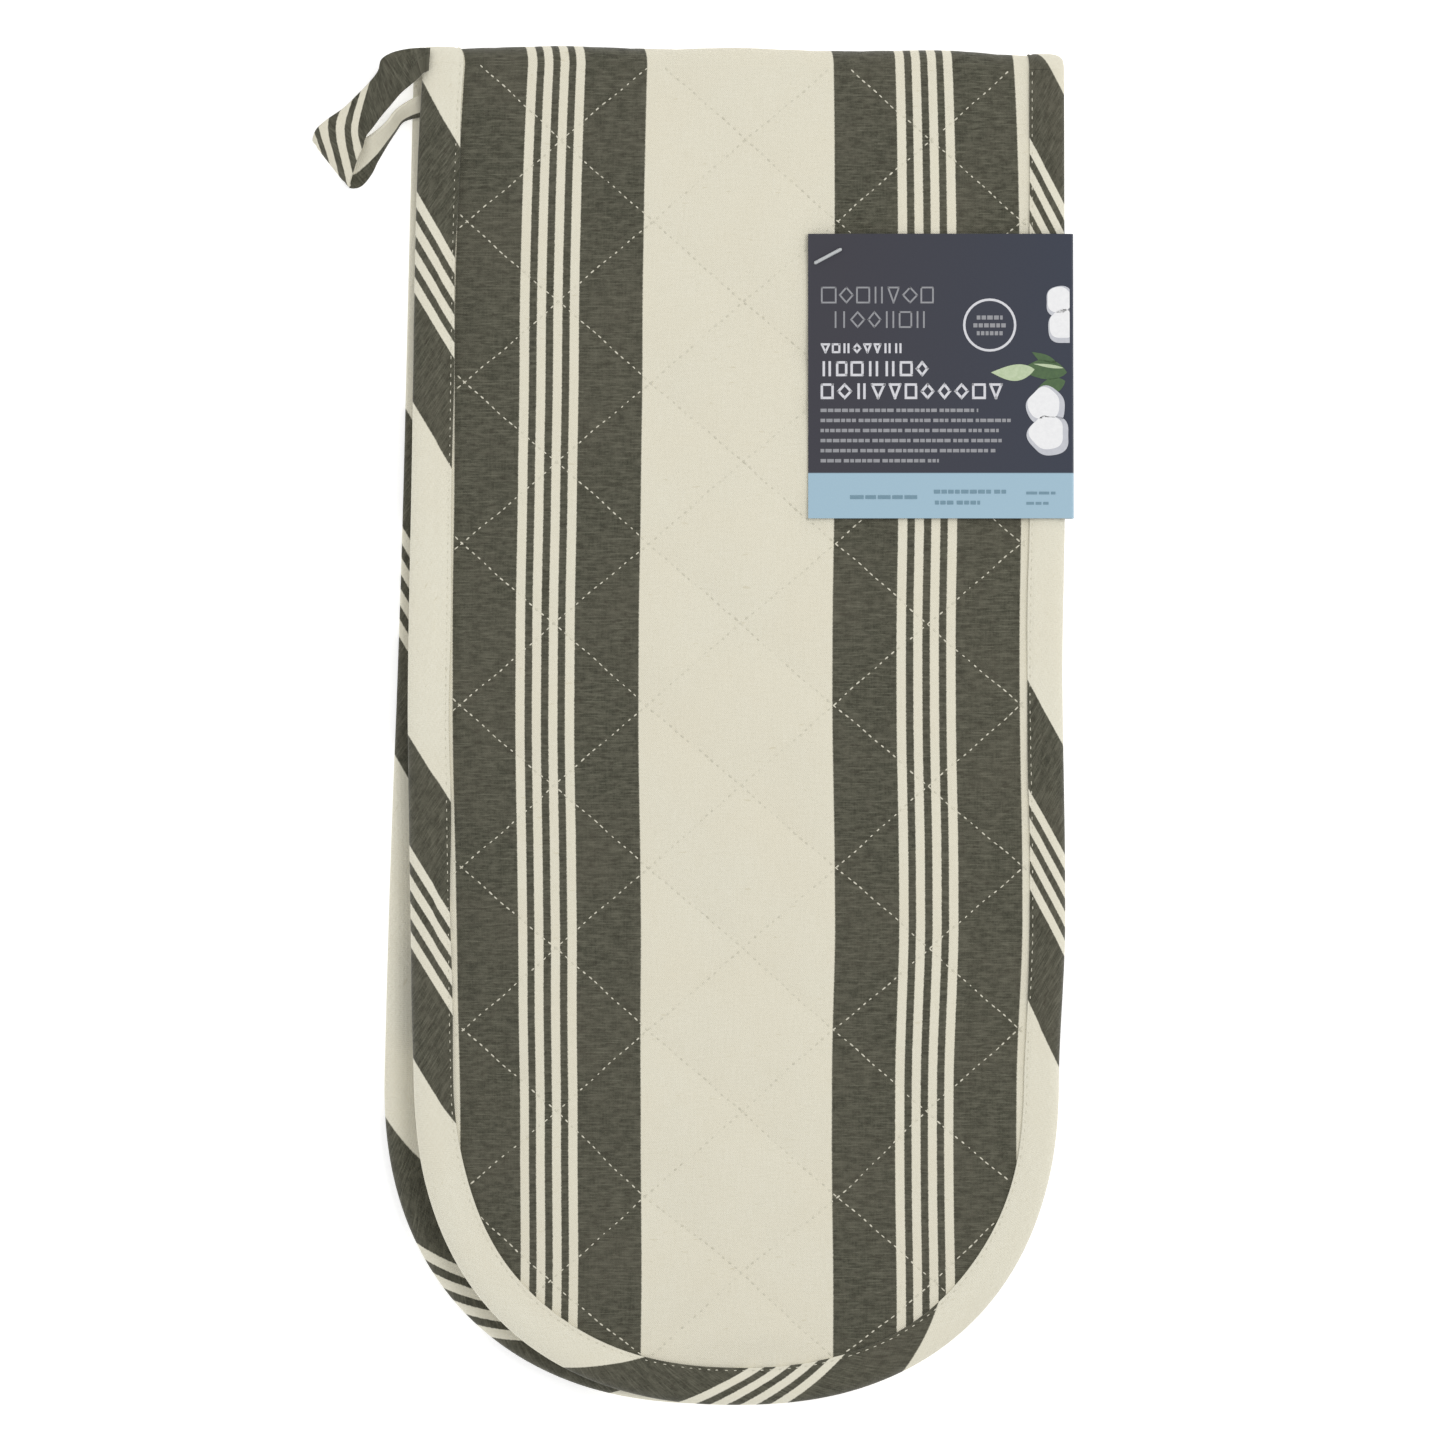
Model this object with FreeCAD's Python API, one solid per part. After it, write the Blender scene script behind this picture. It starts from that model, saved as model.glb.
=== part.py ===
"""Double oven mitt, folded in half: a quilted strip with a hand pocket at each end.

Millimetres. The mitt lies flat on its back half, +Z up. X runs across the mitt, and the fold is at
+Y with the two rounded ends at -Y. The origin is on the table, at the centre of the resting face.
Each half is modelled flat in its own frame (fold axis at y = 0, outer face at z = 0, pocket side up)
and then placed: the back half on the table, the front half turned over on top of it.
"""

import FreeCAD
import Part
import math
import os

V = FreeCAD.Vector

# Driving dimensions of the strip
HALF_WIDTH = 95.0
FOLD_AXIS_Y = 193.5
HALF_LENGTH = 392.5  # from the fold axis to the rounded end
BINDING = 11.0  # visible width of the edge binding
BINDING_WALL = 1.0

# Layers, from the outer face inwards
OUTER = 0.8
WADDING = 2.4
LINING = 0.8
PANEL = OUTER + WADDING + LINING
CAVITY = 4.6  # room for the hand at rest
POCKET_LINING = 0.7
POCKET_WADDING = 1.8
POCKET_OUTER = 0.7
POCKET = POCKET_LINING + POCKET_WADDING + POCKET_OUTER
STACK = PANEL + CAVITY + POCKET
HALVES_GAP = 0.6  # between the two pockets

# Fold and wrist
FOLD_INNER_R = 1.5
FOLD_Z = PANEL + FOLD_INNER_R
SKEW = 1.4  # degrees that the back half swings out from under the front half
WRIST = 198.0  # distance from the fold axis to the line where the hand end bends
WRIST_GAP = 0.6
MOUTH = 204.0  # distance from the fold axis to the pocket mouth
MOUTH_BINDING = 10.0
LID_GAP = 0.3  # clearance of the moving pocket panel

# Quilting: crossing lines of stitching
QUILT_PITCH = 47.4  # between parallel lines, measured along the mitt
QUILT_SLOPE = 0.82
THREAD = 0.5
THREAD_DEPTH = 0.35

# Hanging loop
LOOP_WIDTH = 12.6
LOOP_THICK = 1.6
LOOP_REACH = 34.0
LOOP_HEADING = 229.0  # degrees in plan, measured from +X
LOOP_ROOT = V(-97.6, 190.6, 9.0)
LOOP_GAP = 5.2  # clear height between the two legs

# Card sleeve and tag pin, measured on the flat front strap
CARD_WIDTH = 77.6
CARD_LENGTH = 83.4
CARD_BACK_WIDTH = 60.0
CARD_THICK = 0.4
CARD_GAP = 0.25
CARD_EDGE_X = 98.7
CARD_CENTRE_Y = 102.5
PIN_X = 26.6
PIN_Y = 137.0
PIN_R = 0.35
PIN_HOLE_R = 0.45
T_BAR_R = 0.65
T_BAR_LENGTH = 9.4
T_BAR_ANGLE = 28.0

TOTAL = 2 * STACK + HALVES_GAP
WRIST_MID_Z = TOTAL - PANEL / 2
RAMP = math.degrees(math.asin((WRIST_MID_Z - FOLD_Z - FOLD_INNER_R - PANEL / 2) / WRIST))
FOLD_POINT = V(0, FOLD_AXIS_Y, FOLD_Z)
FOLD_DIRECTION = V(math.cos(math.radians(SKEW / 2)), -math.sin(math.radians(SKEW / 2)), 0)
BIG = 300.0

parts = {}


def prism(face, low, high):
    """A plan face in the XY plane, extruded from one height to another."""
    solid = face.extrude(V(0, 0, high - low))
    solid.translate(V(0, 0, low))
    return solid


def rectangle(x0, y0, x1, y1):
    corners = [V(x0, y0, 0), V(x1, y0, 0), V(x1, y1, 0), V(x0, y1, 0), V(x0, y0, 0)]
    return Part.Face(Part.makePolygon(corners))


def half_outline(inset, start_tilt=0.0, near=0.0, far=None):
    """Plan of one flat half between two distances from the fold axis, drawn in from its edge by inset.

    start_tilt, in degrees, turns the line where the half meets the fold.
    """
    w = HALF_WIDTH - inset
    rise = w * math.tan(math.radians(start_tilt)) if near == 0 else 0.0
    left_top, right_top = V(-w, -near - rise, 0), V(w, -near + rise, 0)
    if far is not None:
        return Part.Face(Part.makePolygon([left_top, V(-w, -far, 0), V(w, -far, 0), right_top, left_top]))
    round_y = -(HALF_LENGTH - HALF_WIDTH)
    left, right = V(-w, round_y, 0), V(w, round_y, 0)
    edges = [
        Part.makeLine(left_top, left),
        Part.Arc(left, V(0, round_y - w, 0), right).toShape(),
        Part.makeLine(right, right_top),
        Part.makeLine(right_top, left_top),
    ]
    return Part.Face(Part.Wire(edges))


def tiled_threads(plan, low, high, near, far):
    """Two crossing sets of straight quilting threads inside a plan, as one net."""
    bars = []
    reach = 2.2 * HALF_WIDTH
    angle = math.degrees(math.atan(QUILT_SLOPE))
    first = math.floor((-far - reach) / QUILT_PITCH)
    last = math.ceil((-near + reach) / QUILT_PITCH)
    for k in range(first, last + 1):
        for turn in (angle, -angle):
            bar = Part.makeBox(2 * reach, THREAD, high - low, V(-reach, -THREAD / 2, low))
            bar.rotate(V(0, 0, 0), V(0, 0, 1), turn)
            bar.translate(V(0, k * QUILT_PITCH, 0))
            bars.append(bar)
    crossed = bars[0].fuse(bars[1:]).common(prism(plan, low - 1, high + 1))
    return max(crossed.Solids, key=lambda solid: solid.Volume)


def panel_layers(name, start_tilt, near, far):
    """Outer fabric, quilting thread, wadding and lining of a flat stretch of the strip."""
    inner = half_outline(BINDING, start_tilt, near, far)
    tucked = half_outline(BINDING_WALL, start_tilt, near, far)
    end = HALF_LENGTH if far is None else far
    margin = half_outline(BINDING + 0.5, start_tilt, near + 0.5 if near else 0.0, far)
    threads = tiled_threads(margin, 0.0, THREAD_DEPTH, near, end)
    return {
        name + "_outer_fabric": prism(inner, 0, OUTER).cut(threads),
        name + "_quilting_thread": threads,
        name + "_wadding": prism(tucked, OUTER, OUTER + WADDING),
        name + "_lining": prism(inner, OUTER + WADDING, PANEL),
    }


def edge_channel(start_tilt, near, far):
    """Binding folded round the edge of the strip: two lips and an outer wall, with the wadding inside."""
    full = prism(half_outline(0, start_tilt, near, far), 0, PANEL)
    inner = prism(half_outline(BINDING, start_tilt, near - 1 if near else 0.0, None if far is None else far + 1),
                  -1, PANEL + 1)
    tucked = prism(half_outline(BINDING_WALL, start_tilt, near, far), OUTER, OUTER + WADDING)
    return full.cut(inner).cut(tucked)


def pocket_wall():
    """The same binding where it also takes in the pocket's seam, up to the pocket's own face."""
    seam = half_outline(0, 0, MOUTH).cut(half_outline(BINDING, 0, MOUTH - 1))
    return prism(seam, OUTER + WADDING, STACK)


def pocket_layers(name):
    """Pocket panel: outer fabric, thread, wadding and lining, with a bound mouth, clear of the edge binding."""
    rim = BINDING + LID_GAP
    body = half_outline(rim, 0, MOUTH + MOUTH_BINDING)
    whole = half_outline(rim, 0, MOUTH)
    tucked = half_outline(rim, 0, MOUTH + BINDING_WALL)
    low = PANEL + CAVITY
    wadding_low, outer_low = low + POCKET_LINING, low + POCKET_LINING + POCKET_WADDING
    margin = half_outline(rim + 0.5, 0, MOUTH + MOUTH_BINDING + 0.5)
    threads = tiled_threads(margin, STACK - THREAD_DEPTH, STACK, MOUTH, HALF_LENGTH)
    mouth_zone = whole.cut(half_outline(rim - 1, 0, MOUTH + MOUTH_BINDING))
    wadding = prism(tucked, wadding_low, outer_low)
    return {
        name + "_pocket_lining": prism(body, low, wadding_low),
        name + "_pocket_wadding": wadding,
        name + "_pocket_outer_fabric": prism(body, outer_low, STACK).cut(threads),
        name + "_pocket_quilting_thread": threads,
        name + "_pocket_mouth_binding": prism(mouth_zone, low, STACK).cut(wadding),
    }


def place_back(shape):
    shape.translate(V(0, FOLD_AXIS_Y, 0))
    shape.rotate(V(0, FOLD_AXIS_Y, 0), V(0, 0, 1), -SKEW)
    return shape


def place_front_strap(shape):
    """Turns a flat strap over above the fold axis and tilts it up towards the wrist."""
    shape.rotate(V(0, 0, 0), V(0, 1, 0), 180)
    shape.translate(V(0, FOLD_AXIS_Y, FOLD_Z + FOLD_INNER_R + PANEL))
    shape.rotate(FOLD_POINT, FOLD_DIRECTION, -RAMP)
    return shape


def place_front_hand(shape):
    """Turns a flat hand end over and lays it level on top of the back half's pocket."""
    ramp = math.radians(RAMP)
    shortened = WRIST * (1 - math.cos(ramp)) + (FOLD_INNER_R + PANEL / 2) * math.sin(ramp)
    shape.rotate(V(0, 0, 0), V(0, 1, 0), 180)
    shape.translate(V(0, FOLD_AXIS_Y + shortened, TOTAL))
    return shape


def fold_roll(x0, x1, inner_r, outer_r):
    """Part of the bend at the fold: a ring section turned about the fold axis, from the back half to the front."""
    face = Part.Face(Part.makePolygon([
        V(x0, 0, -outer_r), V(x1, 0, -outer_r), V(x1, 0, -inner_r), V(x0, 0, -inner_r), V(x0, 0, -outer_r)]))
    ring = face.revolve(V(0, 0, 0), V(1, 0, 0), 180 - RAMP)
    ring.rotate(V(0, 0, 0), V(0, 0, 1), -SKEW / 2)
    ring.translate(FOLD_POINT)
    return ring


def make_halves():
    for name, shape in panel_layers("back", SKEW / 2, 0.0, None).items():
        parts[name] = place_back(shape)
    parts["back_edge_binding"] = place_back(edge_channel(SKEW / 2, 0.0, None).fuse(pocket_wall()).removeSplitter())
    for name, shape in panel_layers("front_strap", SKEW / 2, 0.0, WRIST - WRIST_GAP / 2).items():
        parts[name] = shape
    for name, shape in panel_layers("front_hand", 0.0, WRIST + WRIST_GAP / 2, None).items():
        parts[name] = place_front_hand(shape)
    hand_edge = edge_channel(0.0, WRIST + WRIST_GAP / 2, None).fuse(pocket_wall()).removeSplitter()
    parts["front_hand_edge_binding"] = place_front_hand(hand_edge)
    strap_edges = edge_channel(SKEW / 2, 0.0, WRIST - WRIST_GAP / 2)
    for side, solid in zip(("right", "left"), sorted(strap_edges.Solids, key=lambda s: s.CenterOfMass.x)):
        parts["front_strap_" + side + "_binding"] = place_front_strap(solid)


def make_pockets():
    for name, shape in pocket_layers("back").items():
        parts[name] = place_back(shape)
    for name, shape in pocket_layers("front").items():
        parts[name] = place_front_hand(shape)


def make_fold():
    inner = HALF_WIDTH - BINDING
    outer_r = FOLD_INNER_R + PANEL
    lining_r = FOLD_INNER_R + LINING
    wadding_r = lining_r + WADDING
    tucked = HALF_WIDTH - BINDING_WALL
    parts["fold_outer_fabric"] = fold_roll(-inner, inner, wadding_r, outer_r)
    parts["fold_wadding"] = fold_roll(-tucked, tucked, lining_r, wadding_r)
    parts["fold_lining"] = fold_roll(-inner, inner, FOLD_INNER_R, lining_r)
    for side, x0, x1 in (("left", -HALF_WIDTH, -inner), ("right", inner, HALF_WIDTH)):
        whole = fold_roll(x0, x1, FOLD_INNER_R, outer_r)
        parts["fold_" + side + "_binding"] = whole.cut(parts["fold_wadding"])


def make_loop():
    """A strap doubled into a flat teardrop: two legs one above the other, joined by a round end."""
    mean_r = (LOOP_GAP + LOOP_THICK) / 2
    half = LOOP_THICK / 2
    outer_r, inner_r = mean_r + half, mean_r - half
    straight = LOOP_REACH - outer_r
    top, bottom = 0.0, -2 * mean_r

    def outline(radius, start):
        middle = (top + bottom) / 2
        upper, lower = V(straight, 0, middle + radius), V(straight, 0, middle - radius)
        return (V(start, 0, middle + radius), upper, V(straight + radius, 0, middle), lower, V(start, 0, middle - radius))

    a, b, c, d, e = outline(outer_r, 0.0)
    f, g, h, i, j = outline(inner_r, 0.0)
    edges = [
        Part.makeLine(a, b), Part.Arc(b, c, d).toShape(), Part.makeLine(d, e), Part.makeLine(e, j),
        Part.makeLine(j, i), Part.Arc(i, h, g).toShape(), Part.makeLine(g, f), Part.makeLine(f, a),
    ]
    strap = Part.Face(Part.Wire(edges)).extrude(V(0, LOOP_WIDTH, 0))
    strap.translate(V(0, -LOOP_WIDTH / 2, 0))
    strap.rotate(V(0, 0, 0), V(0, 0, 1), LOOP_HEADING)
    strap.translate(LOOP_ROOT)
    beyond_edge = Part.makeBox(BIG, BIG, BIG, V(-HALF_WIDTH - 1.0 - BIG, 0, -BIG / 2))
    parts["hanging_loop"] = strap.common(beyond_edge)


def make_card_and_pin():
    """A card folded round the right edge of the front strap, and the pin that holds it.

    Both are made on the flat strap, which turns over when it is placed, so x is reversed here.
    """
    y0 = CARD_CENTRE_Y - FOLD_AXIS_Y - CARD_LENGTH / 2
    edge = -CARD_EDGE_X
    front_low = -CARD_GAP - CARD_THICK
    back_low = PANEL + CARD_GAP
    front = Part.makeBox(CARD_WIDTH, CARD_LENGTH, CARD_THICK, V(edge, y0, front_low))
    spine = Part.makeBox(CARD_THICK, CARD_LENGTH, back_low + CARD_THICK - front_low, V(edge, y0, front_low))
    back = Part.makeBox(CARD_BACK_WIDTH, CARD_LENGTH, CARD_THICK, V(edge, y0, back_low))
    card = front.fuse([spine, back]).removeSplitter()
    px, py = -PIN_X, PIN_Y - FOLD_AXIS_Y
    hole = Part.makeCylinder(PIN_HOLE_R, 4 * PANEL, V(px, py, -2 * PANEL))
    filament_low = front_low - T_BAR_R - 0.35
    paddle_z = PANEL + 0.6
    filament = Part.makeCylinder(PIN_R, paddle_z + 0.5 - filament_low, V(px, py, filament_low))
    bar = Part.makeCylinder(T_BAR_R, T_BAR_LENGTH, V(-T_BAR_LENGTH / 2, 0, 0), V(1, 0, 0))
    bar.rotate(V(0, 0, 0), V(0, 0, 1), 180 - T_BAR_ANGLE)
    bar.translate(V(px, py, filament_low))
    paddle = Part.makeCylinder(1.9, 0.7, V(px, py, paddle_z))
    parts["card_sleeve"] = place_front_strap(card.cut(hole))
    parts["tag_pin"] = place_front_strap(filament.fuse([bar, paddle]).removeSplitter())
    for layer in ("outer_fabric", "wadding", "lining", "quilting_thread"):
        name = "front_strap_" + layer
        parts[name] = place_front_strap(parts[name].cut(hole))


def main():
    os.makedirs("parts", exist_ok=True)
    make_halves()
    make_pockets()
    make_fold()
    make_loop()
    make_card_and_pin()
    for name, shape in sorted(parts.items()):
        shape.Solids[0].exportStep(os.path.join("parts", name + ".step"))
    box = Part.makeCompound(list(parts.values())).BoundBox
    print("parts", len(parts), "box", [round(v, 2) for v in (box.XMin, box.YMin, box.ZMin, box.XMax, box.YMax, box.ZMax)])
    print("ramp", round(RAMP, 4), "total", round(TOTAL, 2), "wrist z", round(WRIST_MID_Z, 3))


main()
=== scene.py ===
"""Looks of the double oven mitt: quilted striped canvas, bound edges, hanging loop, card sleeve and tag pin.

Shapes are worked out in millimetres and written to Blender in metres. The cloth has its own flat coordinates,
kept in a UV map: u across the strip from its centre line, v along it from the fold. The front half lies on top;
each half is described by x (across), s (distance from the fold) and a height.
"""

import math

import bpy
import numpy as np
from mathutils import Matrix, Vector


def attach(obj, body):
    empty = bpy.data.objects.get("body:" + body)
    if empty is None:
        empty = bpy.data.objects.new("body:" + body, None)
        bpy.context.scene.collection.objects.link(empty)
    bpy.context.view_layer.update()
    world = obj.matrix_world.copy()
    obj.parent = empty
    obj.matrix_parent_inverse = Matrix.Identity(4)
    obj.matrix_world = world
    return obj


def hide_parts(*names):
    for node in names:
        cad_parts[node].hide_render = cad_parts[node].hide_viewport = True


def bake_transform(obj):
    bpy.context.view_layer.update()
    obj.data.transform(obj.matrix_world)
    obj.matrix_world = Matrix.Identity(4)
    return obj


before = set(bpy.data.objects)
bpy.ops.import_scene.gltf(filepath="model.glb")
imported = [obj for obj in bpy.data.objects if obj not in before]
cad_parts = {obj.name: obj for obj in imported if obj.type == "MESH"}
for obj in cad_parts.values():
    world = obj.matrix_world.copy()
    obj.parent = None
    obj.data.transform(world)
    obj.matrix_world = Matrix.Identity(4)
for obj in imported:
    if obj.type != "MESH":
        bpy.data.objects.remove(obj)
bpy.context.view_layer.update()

FOLD_Y, FOLD_Z, FOLD_R = 193.5, 5.5, 5.5  # middle of the fold's bend, and its radius
HALF_W, ROUND_S = 95.0, 297.5  # half the width, and where the round end begins
BIND = 12.5  # widest part of the edge that the binding takes
PANEL_R = HALF_W - BIND
TUCK = 2.0  # how far the quilted panels reach under the binding
FRONT_R = PANEL_R + TUCK + 0.8
FULLNESS = 2.26  # 2 would be a half circle
SEAM = 0.15  # room between pieces that meet at the fold
SKEW = math.radians(1.4)  # turn of the back half under the front one
RAMP = math.radians(3.8226)  # slope of the strap up to the hand part
WRIST_S, MOUTH_S = 198.0, 204.0  # start of the hand part, and of the pockets
FAR_S = 390.0  # past the far end of a half
TOP_Z = 24.2
FOLD_ARC = FOLD_R * (math.pi - RAMP)
STRIPE_PERIOD = 110.6
QUILT_DX, QUILT_DS = 27.1, 23.7  # half a diamond across and along
QUILT_A, QUILT_B = 0.4895, 0.4388  # where the two families of quilting lines start
LIP_HALF, LIP_HAND = 2.1, 1.5  # half the height of a binding, and what the hand part adds
BACK_LIFT = 0.7  # underside of the back half's binding over the table
POCKET_SHIFT = 9.0  # the pockets' quilting starts this much further on
FRONT_BIAS, BACK_BIAS, MOUTH_BIAS = 158.1, 266.5, 20.0  # a middle of the bindings' stripe pattern
HARD_EDGE = math.radians(50)


def smooth(t):
    t = np.clip(t, 0.0, 1.0)
    return t * t * (3 - 2 * t)


def ripple(x, y, seed, scale):
    """Smooth, repeatable unevenness between about -1 and 1, from a few crossed sine waves."""
    rng = np.random.default_rng(seed)
    total = 0.0
    for _ in range(7):
        angle, phase, pitch = rng.uniform(0, math.tau), rng.uniform(0, math.tau), scale * rng.uniform(0.6, 1.9)
        total = total + np.sin((x * math.cos(angle) + y * math.sin(angle)) * math.tau / pitch + phase)
    return total / 3.5


# ---- the cloth's surfaces


def edge_distance(x, s):
    """Distance in from the panel's outline, whose far end is round."""
    return PANEL_R - np.hypot(x, np.maximum(s - ROUND_S, 0.0))


def puff(x, v):
    """Height of the quilting, 0 on a stitch line and 1 in the middle of a diamond."""
    a = (v / QUILT_DS + x / QUILT_DX) / 2
    b = (v / QUILT_DS - x / QUILT_DX) / 2
    return (np.abs(np.sin(math.pi * (a - QUILT_A))) * np.abs(np.sin(math.pi * (b - QUILT_B)))) ** 0.55


def hand(s):
    """0 on the strap and 1 over the hand pocket, where the mitt is thicker."""
    return smooth((s - WRIST_S + 14) / 34)


def base_height(s):
    """Upper face of the front half along its middle, from the fold up over the pocket."""
    ramp = FOLD_Z + FOLD_R * math.cos(RAMP) + s * math.sin(RAMP)
    blend = 5.0
    low = np.minimum(ramp, TOP_Z)
    near = np.clip(1 - np.abs(ramp - TOP_Z) / blend, 0, 1)
    return low - near * near * blend * 0.12


def calm_start(s):
    """0 at the fold and 1 from 30 mm on, to keep unevenness out of the joints there."""
    return smooth(s / 30)


def binding_top(x, s):
    """Top of the front binding, measured from base_height: it sinks beside the full hand part."""
    return 0.35 * ripple(x, s, 5, 46) * calm_start(s) - (0.1 + 1.7 * hand(s))


def front_top(x, s):
    """Upper face of the front half: quilted diamonds that fall away to the binding."""
    e = edge_distance(x, s)
    edge = binding_top(x, s) - 0.75
    rise = 1 - np.exp(-np.maximum(e, 0) / (8 + 8 * hand(s)))
    relief = (1.15 * puff(x, s) + 0.30 * ripple(x, s, 1, 30) + 0.45 * ripple(x, s, 2, 95)) * smooth(e / 9)
    return base_height(s) + edge * (1 - rise) + relief * (1 - 0.35 * np.exp(-s / 30)) - 0.35


def panel_thickness(e):
    """A quilted panel thins out towards the seam at its edge."""
    return 1.5 + 2.3 * smooth(e / 14)


def back_outer(x, s):
    """Lower face of the back half: it presses on the table, and only its edges and stitch lines lift."""
    e = edge_distance(x, s)
    v = -FOLD_ARC - s
    lift = (0.7 + 2.2 * hand(s)) * np.exp(-np.maximum(e, 0) / 10)
    return 0.05 + lift + 0.75 * (1 - puff(x, v)) * smooth(e / 9)


def fold_start(x):
    """The crease crosses the strip at a slight angle."""
    return x * math.tan(SKEW / 2)


def from_left(x):
    """0 at the left edge and 1 at the right one."""
    return (x + HALF_W) / (2 * HALF_W)


def waver(x, s):
    """The front half's edges wander a little: the left one draws in towards the fold."""
    left = 3.0 * np.exp(-s / 38) - 1.2 * np.exp(-(((s - 190) / 60) ** 2)) + 0.7 * smooth((s - 270) / 40)
    right = 1.0 - 0.9 * np.exp(-(((s - 180) / 35) ** 2)) - 1.9 * smooth((s - 250) / 50)
    fade = 1 - smooth((s - 330) / 60)
    t = from_left(x)
    return ((1 - t) * left + t * right) * fade


def squared(x, s):
    """The round ends are a little fuller than a half circle."""
    past = np.maximum(s - ROUND_S, 0.0)
    across, reach = np.abs(x) + 1e-6, np.hypot(np.abs(x) + 1e-6, past)
    fuller = ((across / reach) ** FULLNESS + (past / reach) ** FULLNESS) ** (-1 / FULLNESS)
    return x * fuller, np.where(s > ROUND_S, ROUND_S + past * fuller, s)


def place_front(x, s, z):
    """Near the fold the sloping half's thickness leans over with it."""
    x, s = squared(x, s)
    lean = (z - FOLD_Z - s * math.tan(RAMP)) * math.tan(RAMP) * (1 - smooth(s / 60))
    y = FOLD_Y - s + 0.674 * smooth(s / WRIST_S)
    return np.stack([x + waver(x, s), y + lean, z], axis=-1)


def place_back(x, s, z):
    """The back half lies turned a little, so that it shows on the left."""
    x, s = squared(x, s)
    x = x - 1.2 * smooth((s - 120) / 160)
    c, k = math.cos(SKEW), math.sin(SKEW)
    return np.stack([x * c - s * k, FOLD_Y - x * k - s * c, z + 0 * x], axis=-1)


def place_fold(x, angle, radius, beyond=0.0):
    """Round the bend at the fold: angle 0 is the table side. Beyond its ends the cloth runs straight on."""
    c, k = math.cos(SKEW / 2), math.sin(SKEW / 2)
    xx = x + smooth(angle / math.pi) * (3.0 * (1 - from_left(x)) + from_left(x))
    out = radius * np.sin(angle)
    climb = np.where(angle > 1, math.sin(RAMP), 0.0) * beyond
    height = FOLD_Z - radius * np.cos(angle) + climb
    return np.stack([xx * c + out * k, FOLD_Y - xx * k + out * c - beyond, height], axis=-1)


def fold_turns():
    """Angles round the bend, with a short straight run at each end."""
    angle = np.linspace(0, math.pi - RAMP, 25)
    return np.concatenate([[0.0], angle, angle[-1:]]), np.concatenate([[SEAM], np.zeros(25), [SEAM]])


# ---- mesh building


def add_object(name, data):
    obj = bpy.data.objects.new(name, data)
    bpy.context.scene.collection.objects.link(obj)
    return obj


def unit(vectors, tiny=0.0):
    return vectors / (np.linalg.norm(vectors, axis=-1, keepdims=True) + tiny)


def new_mesh(name, points, faces, uvs=None, material_index=None, smooth_faces=True):
    mesh = bpy.data.meshes.new(name)
    mesh.from_pydata((np.asarray(points) * 0.001).tolist(), [], faces)
    if uvs is not None:
        layer = mesh.uv_layers.new(name="cloth")
        corner = np.zeros(len(mesh.loops), dtype=np.int32)
        mesh.loops.foreach_get("vertex_index", corner)
        layer.data.foreach_set("uv", (np.asarray(uvs)[corner] * 0.001).astype(np.float32).ravel())
    if material_index is not None:
        mesh.polygons.foreach_set("material_index", np.asarray(material_index, dtype=np.int32))
    mesh.polygons.foreach_set("use_smooth", np.full(len(mesh.polygons), smooth_faces))
    mesh.update()
    return add_object(name, mesh)


def grid_faces(rows, cols, start=0, flip=False, wrap=False):
    faces = []
    for r in range(rows - 1):
        for c in range(cols if wrap else cols - 1):
            n = (c + 1) % cols
            low, high = start + r * cols, start + (r + 1) * cols
            quad = (low + c, low + n, high + n, high + c)
            faces.append(quad[::-1] if flip else quad)
    return faces


def tube_faces(rows, count, start=0):
    """Faces of a tube through rows of ring points, capped at both ends."""
    last = start + (rows - 1) * count
    caps = [tuple(range(start, start + count))[::-1], tuple(range(last, last + count))]
    return grid_faces(rows, count, start, wrap=True) + caps


def tube(name, rings, uv, flip=False, smooth_faces=True):
    faces = tube_faces(*rings.shape[:2])
    if flip:
        faces = [f[::-1] for f in faces]
    return new_mesh(name, rings.reshape(-1, 3), faces, uv.reshape(-1, 2), smooth_faces=smooth_faces)


def swap_materials(obj):
    """Turn a closed_sheet over: the first material goes below and round the rim."""
    index = np.zeros(len(obj.data.polygons), dtype=np.int32)
    obj.data.polygons.foreach_get("material_index", index)
    obj.data.polygons.foreach_set("material_index", 1 - index)


def run_length(points):
    """Length along a line of points, from 0 at its start."""
    return np.concatenate([[0], np.cumsum(np.linalg.norm(np.diff(points, axis=0), axis=1))])


def closed_sheet(name, top, bottom, uv):
    """A closed sheet from two matching grids: material 0 on the top, 1 below and round the rim."""
    rows, cols = top.shape[:2]
    count = rows * cols
    points = np.concatenate([top.reshape(-1, 3), bottom.reshape(-1, 3)])
    upper = grid_faces(rows, cols, 0)
    lower = grid_faces(rows, cols, count, flip=True)
    ring = list(range(cols)) + [r * cols + cols - 1 for r in range(1, rows)]
    ring += [(rows - 1) * cols + c for c in range(cols - 2, -1, -1)]
    ring += [r * cols for r in range(rows - 2, 0, -1)]
    rim = [(b, a, a + count, b + count) for a, b in zip(ring, ring[1:] + ring[:1])]
    faces = upper + lower + rim
    index = [0] * len(upper) + [1] * (len(lower) + len(rim))
    obj = new_mesh(name, points, faces, np.concatenate([uv.reshape(-1, 2)] * 2), index)
    obj.data.set_sharp_from_angle(angle=HARD_EDGE)
    return obj


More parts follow.
